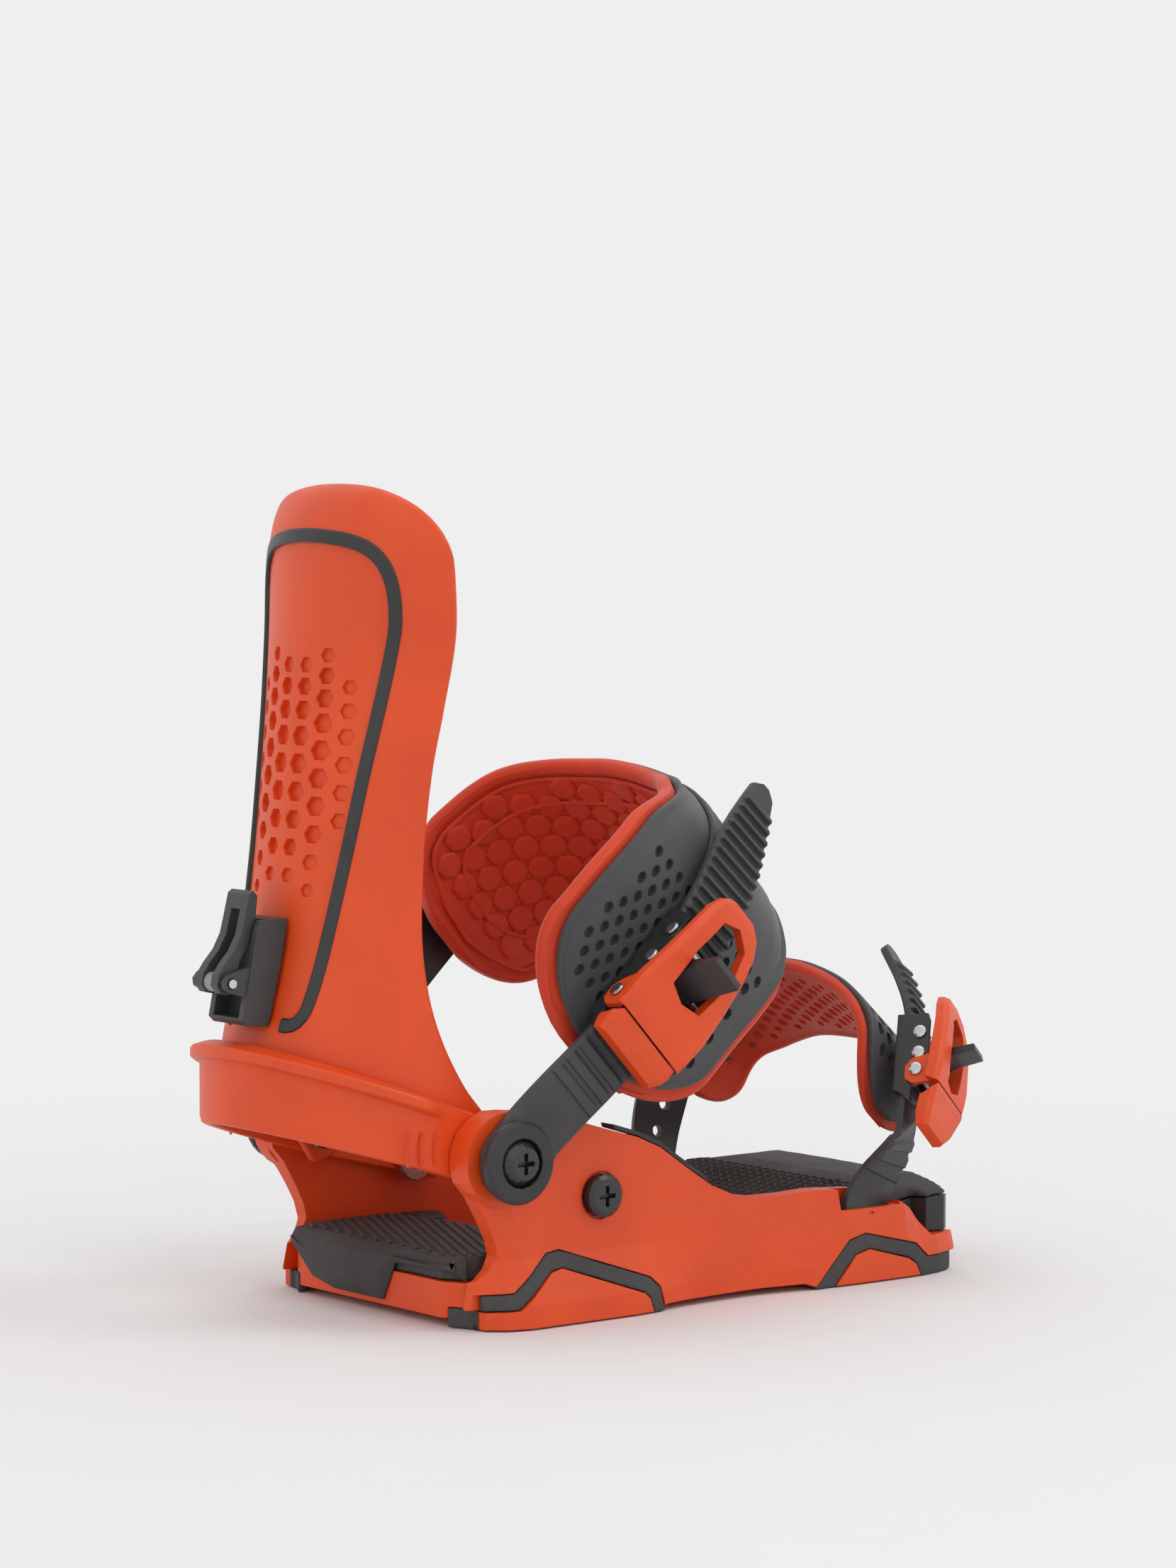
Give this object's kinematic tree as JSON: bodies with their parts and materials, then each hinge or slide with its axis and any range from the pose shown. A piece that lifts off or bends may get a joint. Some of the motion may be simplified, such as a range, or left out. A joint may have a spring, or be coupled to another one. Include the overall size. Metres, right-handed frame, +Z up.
{
  "type": "snowboard strap binding",
  "caption": "Two-strap snowboard binding for a right foot, with a tall curved highback, a heel hoop, ratchet buckles and a rotating mounting disc.",
  "frame": {"origin": "centre of the mounting disc's underside, on the plane of the board", "axes": "+X towards the toe, +Z up from the board, -Y towards the side with the ratchet buckles"},
  "size_m": [0.291, 0.1776, 0.288],
  "materials": {
    "orange_nylon": "satin moulded nylon",
    "black_polymer": "satin moulded polymer",
    "charcoal_polymer": "satin moulded urethane",
    "charcoal_upper": "soft moulded upper",
    "orange_liner": "moulded foam with a skin",
    "eva_foam": "fine-grained EVA foam",
    "black_steel": "black coated steel",
    "steel": "bright steel",
    "grey_nylon": "plain moulded nylon"
  },
  "bodies": {
    "base": {"base_tray": "orange_nylon", "heelcup": "orange_nylon", "edge_trim_near": "black_polymer", "edge_trim_far": "black_polymer", "eva_rear_near": "eva_foam", "eva_rear_far": "eva_foam", "eva_front_near": "eva_foam", "eva_front_far": "eva_foam", "heel_footbed": "eva_foam", "footbed_tab_near": "eva_foam", "footbed_tab_far": "eva_foam", "toe_ramp": "black_polymer", "toe_footbed": "eva_foam", "pivot_screw_near": "black_steel", "pivot_screw_far": "black_steel", "pivot_nut_near": "steel", "pivot_nut_far": "steel", "side_screw_near": "black_steel", "side_screw_far": "black_steel", "side_nut_near": "steel", "side_nut_far": "steel", "toe_anchor_pin_near": "steel", "toe_anchor_pin_far": "steel"},
    "disc": {"mounting_disc": "black_polymer", "board_screw_1": "steel", "board_screw_2": "steel", "board_screw_3": "steel", "board_screw_4": "steel"},
    "highback": {"highback_shell": "orange_nylon", "highback_inlay": "black_polymer"},
    "lean_adjuster": {"lean_block": "charcoal_polymer", "lean_pin": "steel"},
    "lean_clamp": {"lean_lever": "charcoal_polymer", "lean_roller": "grey_nylon"},
    "ankle_strap": {"ankle_ladder": "charcoal_polymer", "ankle_far_strap": "black_polymer", "ankle_liner": "orange_liner", "ankle_shell": "charcoal_upper", "ankle_exo_frame": "black_polymer", "ankle_buckle_frame": "black_steel", "ankle_buckle_nose": "orange_nylon", "ankle_lever_pin": "steel", "ankle_release_pin": "steel", "ankle_stop_pin": "steel", "pivot_washer_near": "black_polymer", "pivot_washer_far": "black_polymer"},
    "ankle_lever": {"ankle_buckle_lever": "orange_nylon"},
    "ankle_release": {"ankle_release_lever": "black_polymer"},
    "toe_strap": {"toe_ladder": "charcoal_polymer", "toe_far_strap": "black_polymer", "toe_liner": "orange_liner", "toe_shell": "charcoal_upper", "toe_buckle_frame": "black_steel", "toe_buckle_nose": "orange_nylon", "toe_lever_pin": "steel", "toe_release_pin": "steel", "toe_stop_pin": "steel"},
    "toe_lever": {"toe_buckle_lever": "orange_nylon"},
    "toe_release": {"toe_release_lever": "black_polymer"}
  },
  "joints": [
    {"name": "stance_rotation", "type": "hinge", "parent": "base", "child": "disc", "pos_m": [0, 0, 0], "axis": [0, 0, 1], "range_deg": [-90, 90]},
    {"name": "highback_fold", "type": "hinge", "parent": "base", "child": "highback", "pos_m": [-0.09, 0, 0.0585], "axis": [0, 1, 0], "range_deg": [0, 30]},
    {"name": "lean_slide", "type": "slide", "parent": "highback", "child": "lean_adjuster", "axis": [0.2381, 0, 0.9713], "range_m": [0, 0.008]},
    {"name": "lean_lever", "type": "hinge", "parent": "lean_adjuster", "child": "lean_clamp", "pos_m": [-0.1646, 0, 0.119], "axis": [0, -1, 0], "range_deg": [0, 70]},
    {"name": "ankle_strap_swing", "type": "hinge", "parent": "base", "child": "ankle_strap", "pos_m": [-0.09, 0, 0.0585], "axis": [0, 1, 0], "range_deg": [0, 10]},
    {"name": "ankle_buckle_lever", "type": "hinge", "parent": "ankle_strap", "child": "ankle_lever", "pos_m": [-0.0421, -0.0796, 0.10317], "axis": [0.682, 0, -0.7314], "range_deg": [0, 50]},
    {"name": "ankle_release_lever", "type": "hinge", "parent": "ankle_strap", "child": "ankle_release", "pos_m": [-0.02864, -0.0796, 0.11572], "axis": [0.682, 0, -0.7314], "range_deg": [0, 14], "stiffness_Nm_per_rad": 0.05},
    {"name": "toe_strap_swing", "type": "hinge", "parent": "base", "child": "toe_strap", "pos_m": [0.0746, 0, 0.024], "axis": [0, 1, 0], "range_deg": [-4, 6]},
    {"name": "toe_buckle_lever", "type": "hinge", "parent": "toe_strap", "child": "toe_lever", "pos_m": [0.09414, -0.07486, 0.07125], "axis": [0.765, 0.3996, -0.505], "range_deg": [0, 50]},
    {"name": "toe_release_lever", "type": "hinge", "parent": "toe_strap", "child": "toe_release", "pos_m": [0.09704, -0.0724, 0.0776], "axis": [0.765, 0.3996, -0.505], "range_deg": [0, 14], "stiffness_Nm_per_rad": 0.03}
  ]
}
